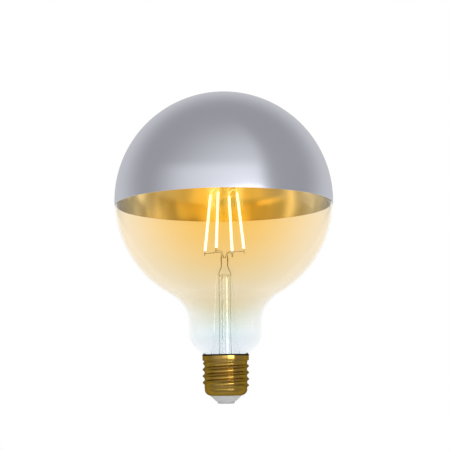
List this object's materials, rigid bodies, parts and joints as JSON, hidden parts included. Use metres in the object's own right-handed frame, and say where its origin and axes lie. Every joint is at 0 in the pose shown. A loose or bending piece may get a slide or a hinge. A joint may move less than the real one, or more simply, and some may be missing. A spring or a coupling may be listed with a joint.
{
  "type": "silver crown bulb",
  "caption": "Globe filament lamp with a half-mirrored silver crown, clear amber lower glass, glass stem with slanted filaments, and a screw cap holding its driver.",
  "frame": {"origin": "the middle of the centre contact's flat land, the lamp's lowest point with the cap down", "axes": "+Z along the lamp's axis from the contact to the crown; -Y faces the picture's view"},
  "size_m": [0.125, 0.125, 0.1775],
  "materials": {
    "globe_glass": "clear, amber at its widest and colourless at the neck",
    "silver_crown": "satin silver outside, mirror inside",
    "stem_glass": "clear",
    "filament": "phosphor-filled silicone, lit warm white",
    "bright_wire": "bright drawn wire",
    "cap_brass": "rolled, aged yellow brass",
    "insulator": "light grey, smooth",
    "contact_metal": "tinned, satin",
    "cement": "pale basing cement",
    "circuit_board": "green solder mask",
    "can_sleeve": "dark shrink sleeve",
    "chip_body": "moulded black",
    "resistor_body": "lacquered grey green",
    "solder": "bright solder"
  },
  "bodies": {
    "root": {"glass_envelope": "globe_glass", "crown_mirror": "silver_crown", "glass_stem": "stem_glass", "exhaust_tube": "stem_glass", "filament_1": "filament", "filament_2": "filament", "filament_3": "filament", "filament_4": "filament", "filament_tabs": "bright_wire", "lead_wire_line": "bright_wire", "lead_wire_return": "bright_wire", "anchor_wire": "bright_wire", "top_link_left": "bright_wire", "top_link_right": "bright_wire", "screw_shell": "cap_brass", "cap_insulator": "insulator", "centre_contact": "contact_metal", "basing_cement": "cement", "driver_board": "circuit_board", "smoothing_capacitor": "can_sleeve", "bridge_rectifier": "chip_body", "driver_chip": "chip_body", "chip_resistors": "chip_body", "fusible_resistor": "resistor_body", "resistor_leads": "bright_wire", "shell_wire": "bright_wire", "solder_joints": "solder"}
  },
  "joints": []
}
